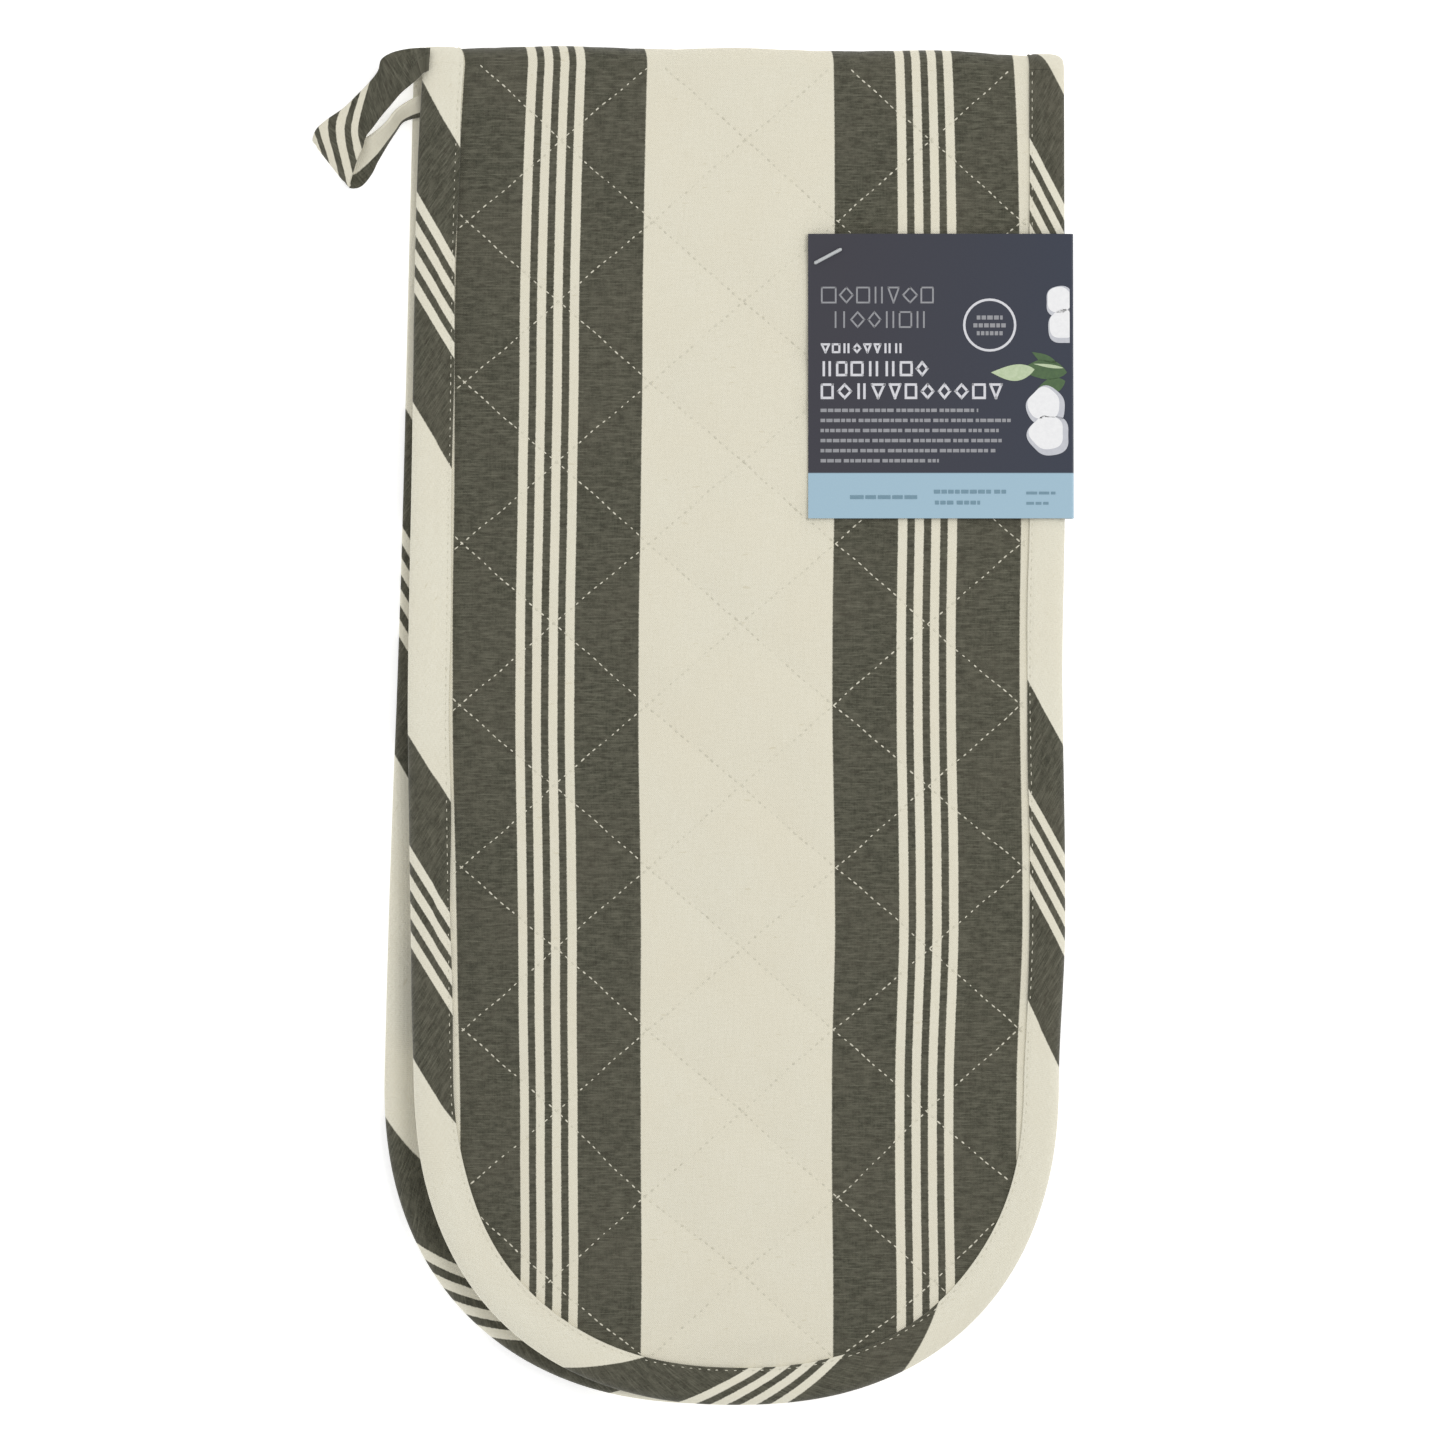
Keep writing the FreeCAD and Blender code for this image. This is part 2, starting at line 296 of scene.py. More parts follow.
def panel_grid(u_from, u_to, s_from, step=1.25, radius=PANEL_R + TUCK, tilt=0.0):
    """Grid of (x, s) over a strip with a round far end; u runs across from -1 to 1.

    With a tilt of 1 or -1 its first row follows the slanting crease of the front or the back half.
    """
    cols = max(int(abs(u_to - u_from) * radius / step), 4)
    u = np.linspace(u_from, u_to, cols + 1)
    straight = np.arange(s_from, ROUND_S, step)
    rows_x = [np.broadcast_to(u * radius, (len(straight), len(u)))]
    rows_s = [straight[:, None] + tilt * fold_start(u * radius)[None, :] * (1 - straight / ROUND_S)[:, None]]
    v = np.linspace(0, 1, int(radius / step))
    uu, vv = np.meshgrid(u, v)
    rows_x.append(radius * uu * np.sqrt(1 - vv * vv / 2))
    rows_s.append(ROUND_S + radius * vv * np.sqrt(1 - uu * uu / 2))
    return np.concatenate(rows_x), np.concatenate(rows_s)


def stitch_mesh(name, tracks, length=1.65, gap=0.6, thick=0.17, face=1):
    """Short stitches along tracks: each track is a function of arc length giving points, and its total length.

    Each stitch is a bent six-sided rod whose ends go into the cloth; face is 1 on an upper side, -1 on a lower.
    """
    points, faces = [], []
    rings, sides, flatten, arch, sink = 6, 6, 1.35, 0.30, 0.20
    rng = np.random.default_rng(17)
    for place, total in tracks:
        count = max(round(total / (length + gap)), 1)
        for i in range(count):
            a = i * total / count + gap / 2 + rng.uniform(-0.12, 0.12)
            t = np.linspace(a, a + length * rng.uniform(0.8, 1.12), rings)
            line = place(t)
            along = unit(np.gradient(line, axis=0), 1e-9)
            side = unit(np.cross(along, [0, 0, 1.0]), 1e-9)
            up = np.cross(side, along)
            bow = np.sin(np.linspace(0, math.pi, rings))
            size = thick * (0.55 + 0.45 * bow) * rng.uniform(0.8, 1.15)
            line = line + face * up * (bow * arch - sink)[:, None]
            faces += tube_faces(rings, sides, len(points))
            for j in range(rings):
                for k in range(sides):
                    w = math.tau * k / sides
                    across = side[j] * math.cos(w) * size[j] * flatten
                    points.append(line[j] + across + up[j] * math.sin(w) * size[j])
    return new_mesh(name, points, faces)


# ---- materials


class Nodes:
    """Small helper for building a node tree."""

    def __init__(self, name):
        self.material = bpy.data.materials.new(name)
        self.material.use_nodes = True
        self.tree = self.material.node_tree
        self.shader = self.tree.nodes["Principled BSDF"]

    def add(self, kind, **settings):
        node = self.tree.nodes.new(kind)
        for key, value in settings.items():
            setattr(node, key, value)
        return node

    def feed(self, socket, value):
        if isinstance(value, bpy.types.NodeSocket):
            self.tree.links.new(value, socket)
        else:
            socket.default_value = value

    def fill(self, node, **inputs):
        for key, value in inputs.items():
            self.feed(node.inputs[key], value)

    def math(self, operation, *values):
        node = self.add("ShaderNodeMath", operation=operation)
        for i, value in enumerate(values):
            self.feed(node.inputs[i], value)
        return node.outputs[0]

    def times(self, a, b):
        return self.math("MULTIPLY", a, b)

    def plus(self, a, b):
        return self.math("ADD", a, b)

    def mix(self, factor, a, b):
        node = self.add("ShaderNodeMix", data_type="RGBA", blend_type="MIX")
        for socket, value in ((node.inputs[0], factor), (node.inputs[6], a), (node.inputs[7], b)):
            self.feed(socket, value)
        return node.outputs[2]

    def ramp(self, value, low, high, to_low=0.0, to_high=1.0):
        node = self.add("ShaderNodeMapRange")
        for socket, item in zip(node.inputs, (value, low, high, to_low, to_high)):
            self.feed(socket, item)
        return node.outputs[0]

    def wash(self, base, other, value, low, high, amount):
        """The base colour, turned towards the other by up to amount where value goes from low to high."""
        return self.mix(self.times(self.ramp(value, low, high), amount), base, other)

    def vector(self, x, y, z=0.0):
        node = self.add("ShaderNodeCombineXYZ")
        for socket, value in zip(node.inputs, (x, y, z)):
            self.feed(socket, value)
        return node.outputs[0]

    def noise(self, vector, scale, detail=2.0, rough=0.5):
        node = self.add("ShaderNodeTexNoise")
        self.fill(node, Vector=vector, Scale=scale, Detail=detail, Roughness=rough)
        return node.outputs["Fac"]

    def uv_mm(self):
        uv = self.add("ShaderNodeUVMap", uv_map="cloth")
        split = self.add("ShaderNodeSeparateXYZ")
        self.feed(split.inputs[0], uv.outputs[0])
        return tuple(self.times(split.outputs[i], 1000.0) for i in (0, 1))

    def place(self):
        return self.add("ShaderNodeTexCoord").outputs["Object"]

    def bump(self, height, strength, distance):
        node = self.add("ShaderNodeBump")
        self.fill(node, Strength=strength, Distance=distance, Height=height)
        return node.outputs[0]

    def finish(self, inputs):
        """Give the shader its inputs by name, and return the material."""
        self.fill(self.shader, **inputs)
        return self.material


def rgb(r, g, b):
    """A colour given as it looks on screen, 0 to 255."""
    def linear(c):
        c /= 255
        return c / 12.92 if c <= 0.04045 else ((c + 0.055) / 1.055) ** 2.4
    return (linear(r), linear(g), linear(b), 1.0)


CREAM = rgb(222, 218, 201)
CREAM_DEEP = rgb(207, 201, 179)
DARK = rgb(86, 85, 71)
DARK_DEEP = rgb(50, 50, 40)
DARK_PALE = rgb(120, 119, 104)


def woven(name, striped=True, plain=CREAM):
    """Cotton canvas. Stripes run along v; yarns are about 0.45 mm apart."""
    n = Nodes(name)
    u, v = n.uv_mm()

    def streaks(by_u, by_v, detail, rough=0.5):
        """Noise drawn out along the cloth or across it."""
        return n.noise(n.vector(n.times(u, by_u), n.times(v, by_v)), 1.0, detail, rough)

    def line(distance, half_width):
        """1 within half_width of a line, 0 outside, with a narrow woven edge between."""
        return n.ramp(n.math("ABSOLUTE", distance), half_width - 0.12, half_width + 0.12, 1.0, 0.0)

    def uneven(noise, amount):
        return n.times(n.math("SUBTRACT", noise, 0.5), amount)

    flat = n.vector(u, v)
    across, along = streaks(0.16, 2.1, 3.0, 0.6), streaks(2.1, 0.13, 3.0, 0.6)
    grain = n.noise(flat, 1.7, 4.0, 0.65)
    cloud = n.noise(flat, 0.035, 2.0, 0.5)
    yarn = n.plus(n.times(across, 0.5), n.times(along, 0.5))
    mottle = n.plus(n.times(yarn, 0.6), n.times(grain, 0.4))
    tone = n.ramp(mottle, 0.36, 0.64)
    cream = n.mix(n.times(tone, 0.55), plain, CREAM_DEEP)
    cream = n.wash(cream, rgb(217, 209, 187), cloud, 0.35, 0.7, 0.28)
    cream = n.wash(cream, rgb(190, 181, 152), streaks(0.22, 0.85, 1.0), 0.72, 0.78, 0.35)
    colour = cream
    if striped:
        jitter = uneven(n.noise(flat, 1.6, 3.0, 0.7), 0.55)
        drift = uneven(n.noise(n.vector(0.0, v), 0.012, 1.0), 1.2)
        edge = n.plus(n.plus(u, jitter), drift)
        # t is the distance from the middle of the wide light stripe, d from the middle of the dark one.
        t = n.math("PINGPONG", edge, STRIPE_PERIOD / 2)
        d = n.math("SUBTRACT", STRIPE_PERIOD / 2, t)
        wide = n.ramp(t, 27.95, 28.25, 1.0, 0.0)
        inner = line(n.math("SUBTRACT", d, 2.4), 1.30)
        outer = line(n.math("SUBTRACT", d, 7.22), 1.34)
        light = n.math("MAXIMUM", wide, n.math("MAXIMUM", inner, outer))
        dark = n.mix(tone, DARK_DEEP, DARK)
        dark = n.wash(dark, DARK_PALE, across, 0.52, 0.72, 0.5)
        dark = n.wash(dark, rgb(54, 50, 40), streaks(0.30, 1.1, 2.0, 0.55), 0.56, 0.64, 0.5)
        dark = n.wash(dark, rgb(104, 102, 88), streaks(0.30, 0.62, 2.0, 0.6), 0.42, 0.66, 0.45)
        dark = n.wash(dark, rgb(98, 93, 80), cloud, 0.4, 0.7, 0.22)
        colour = n.mix(light, dark, cream)
    warp = n.math("SINE", n.times(u, math.tau / 0.62))
    weft = n.math("SINE", n.times(v, math.tau / 0.7))
    crossing = n.times(n.times(warp, weft), 0.35)
    weave = n.plus(crossing, n.plus(yarn, grain))
    return n.finish({"Base Color": colour, "Roughness": 0.88, "Sheen Weight": 0.12, "Sheen Roughness": 0.5,
                     "Specular IOR Level": 0.25, "Normal": n.bump(weave, 0.55, 0.00028)})


def thread_material():
    n = Nodes("sewing_thread")
    place = n.place()
    twist = n.noise(place, 2600.0, 2.0)
    tone = n.mix(twist, rgb(218, 214, 197), rgb(200, 196, 177))
    worn = n.wash(tone, rgb(178, 174, 156), n.noise(place, 330.0, 2.0), 0.4, 0.62, 0.5)
    return n.finish({"Base Color": worn, "Roughness": 0.6, "Sheen Weight": 0.2,
                     "Normal": n.bump(twist, 0.5, 0.0001)})


def card_material():
    """Dark board with a pale band along its lower edge."""
    n = Nodes("printed_card")
    u, v = n.uv_mm()
    fibre = n.noise(n.vector(u, v), 1.4, 4.0, 0.7)
    charcoal = n.mix(n.ramp(u, 30.0, 98.0), rgb(61, 60, 67), rgb(55, 60, 73))
    charcoal = n.mix(n.times(fibre, 0.35), charcoal, rgb(46, 48, 58))
    band = n.ramp(v, 73.9, 74.2, 1.0, 0.0)
    blue = n.mix(n.times(fibre, 0.3), rgb(150, 178, 194), rgb(165, 189, 202))
    return n.finish({"Base Color": n.mix(band, charcoal, blue), "Roughness": 0.6, "Specular IOR Level": 0.2,
                     "Normal": n.bump(fibre, 0.25, 0.00008)})


def ink_material(name, colour, other):
    n = Nodes(name)
    return n.finish({"Base Color": n.mix(n.noise(n.place(), 900.0, 3.0, 0.7), colour, other), "Roughness": 0.6})


def nylon_material():
    n = Nodes("tag_nylon")
    grey = n.mix(n.noise(n.place(), 700.0, 2.0), rgb(196, 198, 199), rgb(164, 167, 170))
    return n.finish({"Base Color": grey, "Roughness": 0.35, "Subsurface Weight": 0.3,
                     "Subsurface Radius": (0.001, 0.001, 0.001)})


STRIPED = woven("striped_canvas")
BIAS = woven("striped_bias_binding", plain=rgb(226, 223, 207))
LINING = woven("lining_cotton", striped=False, plain=rgb(226, 221, 200))
THREAD = thread_material()


def dress(obj, slot, *materials):
    for material in materials:
        obj.data.materials.append(material)
    return obj


def dress_binding(obj):
    obj.data.set_sharp_from_angle(angle=HARD_EDGE)
    return dress(obj, "striped_binding", BIAS)


def bend_wrist(obj):
    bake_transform(obj)


def bend_fold(obj):
    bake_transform(obj)


# ---- camera, light and floor


def make_stage():
    camera = add_object("camera", bpy.data.cameras.new("camera"))
    camera.data.lens = 240.0
    camera.data.sensor_width = 36.0
    camera.data.clip_end = 20.0
    camera.location = (-0.00497, 0.0019, 2.825)
    bpy.context.scene.camera = camera

    mesh = bpy.data.meshes.new("floor")
    size, below = 6.0, -0.0003
    corners = [(-size, -size, below), (size, -size, below), (size, size, below), (-size, size, below)]
    mesh.from_pydata(corners, [], [(0, 1, 2, 3)])
    floor = add_object("floor", mesh)
    mesh.materials.append(Nodes("pale_floor").finish({
        "Base Color": (0.93, 0.93, 0.93, 1), "Roughness": 0.9,
        "Emission Color": (1, 1, 1, 1), "Emission Strength": 0.42}))

    world = bpy.data.worlds.new("studio")
    bpy.context.scene.world = world
    world.use_nodes = True
    background = world.node_tree.nodes["Background"]
    background.inputs["Color"].default_value = (1.0, 1.0, 1.0, 1)
    background.inputs["Strength"].default_value = 0.765
    for name, place, size, power in (
        ("softbox_top", (0.6, 0.4, 1.4), 0.9, 8.8),
        ("softbox_side", (-1.2, -0.5, 1.2), 1.0, 1.5),
    ):
        light = add_object(name, bpy.data.lights.new(name, "AREA"))
        light.data.shape = "DISK"
        light.data.size = size
        light.data.energy = power
        light.location = place
        light.rotation_euler = (-Vector(place)).to_track_quat("-Z", "Y").to_euler()
    bpy.context.scene.view_settings.view_transform = "Standard"
    bpy.context.scene.view_settings.look = "None"


# ---- main panels


def cloth_uv(x, v):
    """Flat cloth coordinates: the stripes crowd together slightly towards the fold and drift on the left."""
    near = np.exp(-np.maximum(v, 0) / 45)
    drift = 0.015 * smooth((v - 90) / 240) - 0.008 * (1 - smooth((v - 70) / 60))
    left = 1 + drift * smooth((-x - 55) / 25)
    return np.stack([x * left * (1 + 0.018 * near) + 1.0 * near, v + 0 * x], axis=-1)


def front_reach(u):
    """The front panel runs a little further under the narrower binding on its right."""
    return u * FRONT_R * np.where(u > 0, 1.02, 1.0)


def make_front_panel():
    x, s = panel_grid(-1, 1, SEAM, radius=FRONT_R, tilt=1.0)
    x = front_reach(x / FRONT_R)
    top = front_top(x, s)
    thick = panel_thickness(edge_distance(x, s))
    obj = closed_sheet("front_panel", place_front(x, s, top), place_front(x, s, top - thick),
                       cloth_uv(*squared(x, s)))
    dress(obj, "striped_canvas", STRIPED, LINING)
    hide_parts(*("front_" + part + layer for part in ("strap_", "hand_")
                       for layer in ("outer_fabric", "wadding", "lining")))
    bend_wrist(obj)


def make_back_panel():
    x, s = panel_grid(-1, 1, SEAM, tilt=-1.0)
    outer = back_outer(x, s)
    thick = panel_thickness(edge_distance(x, s))
    flat_x, flat_s = squared(x, s)
    obj = closed_sheet("back_panel", place_back(x, s, outer + thick), place_back(x, s, outer),
                       cloth_uv(flat_x, -FOLD_ARC - flat_s))
    swap_materials(obj)
    dress(obj, "striped_canvas", STRIPED, LINING)
    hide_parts("back_outer_fabric", "back_wadding", "back_lining")
    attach(obj, "back_half")


def fold_radius(x, angle):
    """Outer radius of the cloth round the fold, which meets both halves at its ends, and its place along v."""
    turn = angle / (math.pi - RAMP)
    v = -FOLD_ARC * (1 - turn)
    start = fold_start(x)
    top = front_top(x, start) - base_height(start) + start * math.sin(RAMP)
    bottom = -back_outer(x, -start)
    middle = 0.6 * (puff(x, v) - 0.5) * smooth((PANEL_R - np.abs(x)) / 9) * np.sin(turn * math.pi)
    return FOLD_R + top * smooth(turn) + bottom * (1 - smooth(turn)) + middle, v


def make_fold_panel():
    columns = panel_grid(-1, 1, 0.0, radius=FRONT_R)[0].shape[1]
    turns, beyond = fold_turns()
    x, angle = np.meshgrid(front_reach(np.linspace(-1, 1, columns)), turns)
    radius, v = fold_radius(x, angle)
    outer = place_fold(x, angle, radius, beyond[:, None])
    inner = place_fold(x, angle, radius - panel_thickness(edge_distance(x, 0 * x)), beyond[:, None])
    obj = closed_sheet("fold_panel", outer, inner, cloth_uv(x, v))
    dress(obj, "striped_canvas", STRIPED, LINING)
    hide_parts("fold_outer_fabric", "fold_wadding", "fold_lining")
    bend_fold(obj)


# ---- edge bindings


def edge_path(side, step=1.6, s_from=0.0):
    """Down the left edge, round the end and up the right edge.

    Gives x, s and the outward direction in plan, with the arc length along the middle of the binding. Both ends
    follow the slanting crease.
    """
    straight = np.arange(s_from, ROUND_S, step)
    turn = np.linspace(0, math.pi, int(math.pi * 90 / step))
    ones, zeros = np.ones(len(straight)), np.zeros(len(straight))
    x = np.concatenate([-HALF_W * ones, -HALF_W * np.cos(turn), HALF_W * ones])
    s = np.concatenate([straight, ROUND_S + HALF_W * np.sin(turn), straight[::-1]])
    out_x = np.concatenate([-ones, -np.cos(turn), ones])
    out_s = np.concatenate([zeros, np.sin(turn), zeros])
    mid = HALF_W - BIND / 2
    arc = np.concatenate([straight, ROUND_S + mid * turn, ROUND_S + mid * math.pi + ROUND_S - straight[::-1]])
    slant = fold_start(x) * (1 if side == "front" else -1) * (1 - np.minimum(s, ROUND_S) / ROUND_S)
    return x, s + np.where(s <= ROUND_S, slant, 0), out_x, out_s, arc


def lip_profile(half_height):
    """Cross-section of a binding folded round the edge: rounded outside, a crisp folded edge inside.

    Points are (distance in from the outer edge, height from the middle), the upper lip first.
    """
    b = np.array([0.0, 0.18, 0.6, 1.3, 2.3, 3.6, 5.2, 7.0, 8.6, 9.9, 10.7, 11.4, 12.1, 12.42, 12.5])
    rise = (1 - (1 - np.clip(b / 5.4, 0, 1)) ** 2.3) ** (1 / 2.3)
    groove = 0.25 * np.exp(-(((b - 11.4) / 0.5) ** 2))  # pressed in by the stitching
    upper = rise[None, :] * half_height[:, None] - groove[None, :] - 0.10 * smooth((b - 7) / 5.5)[None, :]
    upper[:, -2] -= 0.12
    upper[:, -1] -= 0.45
    lower = -upper[:, ::-1][:, :-1]
    across = np.concatenate([b, b[::-1][:-1]])
    return across, np.concatenate([upper, lower], axis=1)


def tape_uv(along, across, centre, period=191.6):
    """Cloth coordinates on a binding, whose stripes cross it at a slant because it is cut on the bias.

    Across the tape they run on from the upper lip, round the outer edge, to the lower one.
    """
    b = (across * np.where(np.arange(across.size) <= across.size // 2, 1.0, -1.0))[None, :]
    along = along[:, None]
    u = (along + 1.58 * (BIND / 2 - b) - centre) * (STRIPE_PERIOD / period)
    return np.stack([u, b * 0.84 + along * 0.55], axis=-1)


def binding_width(side, x):
    """The binding shows a full width on the left and less of itself on the right."""
    t = from_left(x)
    return (1 - 0.04 * (1 - t) - 0.17 * t) if side == "front" else 1 - 0.04 * t


def make_edge_binding(side):
    front = side == "front"
    x, s, out_x, out_s, arc = edge_path(side, s_from=SEAM)
    calm = calm_start(s)
    half = (LIP_HALF + LIP_HAND * hand(s)) * (1 + 0.05 * calm * ripple(arc, 0 * arc, 8, 24))
    across, up = lip_profile(half)
    width = binding_width(side, x)
    xx = x[:, None] - out_x[:, None] * across[None, :] * width[:, None]
    ss = s[:, None] - out_s[:, None] * across[None, :] * width[:, None]
    wobble = 0.35 * calm * ripple(arc, 0 * arc, 11 if front else 12, 33)
    xx = xx + (out_x * wobble)[:, None] * (across > 8)[None, :]
    ss = ss + (out_s * wobble)[:, None] * (across > 8)[None, :]
    if front:
        level = base_height(s) + binding_top(x, s) - half
        points, uv = place_front(xx, ss, level[:, None] + up), tape_uv(arc, across, FRONT_BIAS)
    else:
        level = BACK_LIFT + LIP_HAND * hand(s) + half + 0.3 * calm * ripple(arc, 0 * arc, 14, 50)
        points, uv = place_back(xx, ss, level[:, None] + up), tape_uv(arc, across, BACK_BIAS, 208.0)
    obj = dress_binding(tube(side + "_edge_binding_tape", points, uv, flip=True))
    if front:
        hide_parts("front_hand_edge_binding", "front_strap_left_binding", "front_strap_right_binding")
        bend_wrist(obj)
    else:
        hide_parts("back_edge_binding")
        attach(obj, "back_half")


def make_fold_binding(side):
    left = side == "left"
    angle, beyond = fold_turns()
    across, up = lip_profile(np.full(len(angle), LIP_HALF))
    x = (-1 if left else 1) * (HALF_W - across * (0.96 if left else 0.83))[None, :] + 0 * up
    mid_r = np.interp(angle, [0, math.pi - RAMP], [FOLD_Z - BACK_LIFT - LIP_HALF, FOLD_R - 0.1 - LIP_HALF])
    points = place_fold(x, angle[:, None] + 0 * up, mid_r[:, None] + up, beyond[:, None])
    v = FOLD_ARC * (1 - angle / (math.pi - RAMP))
    arc = -v if left else ROUND_S * 2 + (HALF_W - BIND / 2) * math.pi + v
    uv = tape_uv(arc, across, FRONT_BIAS)
    obj = dress_binding(tube("fold_" + side + "_binding_tape", points, uv, flip=not left))
    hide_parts("fold_" + side + "_binding")
    bend_fold(obj)


# ---- hand pockets


def pocket_faces(x, s):
    """Heights of a pocket panel's two faces over its half's own outer face, the higher first."""
    e = edge_distance(x, s)
    rise = 1 - np.exp(-np.maximum(e, 0) / 13)
    mouth = 1 - smooth((s - MOUTH_S) / 16)
    seam, crown = 6.2, 11.5
    relief = 0.55 * (puff(x, s + POCKET_SHIFT) - 1) * smooth(e / 9) * (1 - mouth)
    outer = seam + (crown - seam) * rise + relief
    thick = 1.2 + 1.9 * smooth(e / 12)
    return outer, outer - thick


def place_pocket(front, x, s, height):
    return place_front(x, s, TOP_Z - height) if front else place_back(x, s, height)


def make_pocket(side):
    front = side == "front"
    for name, u0, u1 in (("left", -1, 0), ("right", 0, 1)):
        x, s = panel_grid(u0, u1, MOUTH_S, step=1.6)
        upper, lower = (place_pocket(front, x, s, height) for height in pocket_faces(x, s)[::-1 if front else 1])
        obj = closed_sheet(f"{side}_pocket_{name}", upper, lower, cloth_uv(*squared(x, s)))
        if front:
            swap_materials(obj)
        dress(obj, "striped_canvas", STRIPED, LINING)
        bend_pocket(obj)
        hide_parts(*(f"{side}_pocket_{layer}" for layer in ("outer_fabric", "wadding", "lining")))
        make_mouth_binding(side, name)


def bend_pocket(obj):
    """Bakes the pocket piece's object transform into its mesh."""
    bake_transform(obj)


def make_mouth_binding(side, name):
    front = side == "front"
    x = np.linspace(-PANEL_R - 1.0, 0, 70) if name == "left" else np.linspace(0, PANEL_R + 1.0, 70)
    outer, inner = pocket_faces(x, np.full_like(x, MOUTH_S + 4.0))
    across, up = lip_profile((outer - inner) / 2 + 0.35)
    across = across * (10.0 / BIND)
    s = (MOUTH_S - 1.0 + across)[None, :] + 0 * up
    xx = x[:, None] + 0 * up
    height = ((outer + inner) / 2)[:, None] + up
    points = place_pocket(front, xx, s, height)
    uv = tape_uv(x, across, MOUTH_BIAS)
    obj = dress_binding(tube(f"{side}_pocket_mouth_tape_{name}", points, uv, flip=not front))
    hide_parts(side + "_pocket_mouth_binding")
    bend_pocket(obj)


# ---- stitching


def quilt_lines(v_low, v_high):
    """Both families of quilting lines, each as its slope and its v where it crosses x = 0."""
    slope = QUILT_DS / QUILT_DX
    for sign, phase in ((-1, QUILT_A), (1, QUILT_B)):
        start = 2 * QUILT_DS * phase
        first = math.floor((v_low - PANEL_R * slope) / (2 * QUILT_DS)) - 1
        last = math.ceil((v_high + PANEL_R * slope) / (2 * QUILT_DS)) + 1
        for k in range(first, last):
            yield sign * slope, start + 2 * QUILT_DS * k


def line_tracks(place, inside, v_low, v_high, x_low=-PANEL_R - 3, x_high=PANEL_R + 3, shift=0):
    """Tracks for stitch_mesh along the quilting lines, kept where inside(x, v) holds."""
    tracks = []
    shortest = 6
    for slope, v0 in quilt_lines(v_low, v_high):
        v0 -= shift
        x = np.arange(x_low, x_high, 0.5)
        good = inside(x, v0 + slope * x)
        runs = np.split(np.arange(len(x)), np.nonzero(np.diff(good.astype(int)))[0] + 1)
        for run in runs:
            if not good[run[0]] or len(run) < shortest:
                continue
            a, b = x[run[0]], x[run[-1]]
            pace = 1 / math.hypot(1, slope)

            def points(t, a=a, slope=slope, v0=v0, pace=pace):
                wander = 0.18 * np.sin(t / 9 + a) + 0.1 * np.sin(t / 2.3)
                px = a + t * pace
                return place(px - wander * slope * pace, v0 + slope * px + wander * pace)

            tracks.append((points, (b - a) / pace))
    return tracks


def inside_binding(side, x, s):
    """True where a quilting line shows inside the binding's inner edge."""
    return edge_distance(x, s) > 0.2 - BIND * (1 - binding_width(side, x))


def make_quilting_threads():
    def on_front(x, s):
        return (s > fold_start(x) + 0.5) & inside_binding("front", x, s)

    tracks = line_tracks(lambda x, s: place_front(x, s, front_top(x, s)), on_front, 0, FAR_S)
    obj = dress(stitch_mesh("front_quilting_stitches", tracks), "quilting_thread", THREAD)
    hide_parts("front_strap_quilting_thread", "front_hand_quilting_thread")
    bend_wrist(obj)

    def on_back(x, v):
        s = -FOLD_ARC - v
        return (s > 0.5 - fold_start(x)) & inside_binding("back", x, s)

    def back_place(x, v):
        return place_back(x, -FOLD_ARC - v, back_outer(x, -FOLD_ARC - v))

    tracks = line_tracks(back_place, on_back, -FOLD_ARC - FAR_S, -FOLD_ARC)
    obj = dress(stitch_mesh("back_quilting_stitches", tracks, face=-1), "quilting_thread", THREAD)
    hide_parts("back_quilting_thread")
    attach(obj, "back_half")


def make_pocket_stitches(side):
    front = side == "front"

    def on_pocket(x, s):
        return (s > MOUTH_S + 11) & (edge_distance(x, s) > 1.5)

    def lies(x, s):
        return place_pocket(front, x, s, pocket_faces(x, s)[0])

    for name, x0, x1 in (("left", -PANEL_R, 0.0), ("right", 0.0, PANEL_R)):
        tracks = line_tracks(lies, on_pocket, MOUTH_S - POCKET_SHIFT, FAR_S, x0, x1, shift=POCKET_SHIFT)
        obj = stitch_mesh(f"{side}_pocket_stitches_{name}", tracks, face=-1 if front else 1)
        dress(obj, "quilting_thread", THREAD)
        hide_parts(side + "_pocket_quilting_thread")
        bend_pocket(obj)


def make_topstitch(side):
    """The row that holds the binding down, in the groove near its inner edge."""
    front = side == "front"
    edge_x, edge_s, out_x, out_s, _ = edge_path(side, step=1.0)
    inset = 11.5 * binding_width(side, edge_x)
    x, s = edge_x - out_x * inset, edge_s - out_s * inset
    if front:
        points = place_front(x, s, base_height(s) + binding_top(edge_x, edge_s) - 0.33)
    else:
        half = LIP_HALF + LIP_HAND * hand(edge_s)
        points = place_back(x, s, BACK_LIFT + LIP_HAND * hand(s) + 2 * half - 0.25)
    length = run_length(points)

    def place(t):
        return np.stack([np.interp(t, length, points[:, i]) for i in range(3)], axis=-1)

    obj = stitch_mesh(side + "_binding_stitches", [(place, length[-1])], length=1.5, gap=1.1, thick=0.11)
    dress(obj, "quilting_thread", THREAD)
    if front:
        bend_wrist(obj)
    else:
        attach(obj, "back_half")


# ---- hanging loop, card and pin


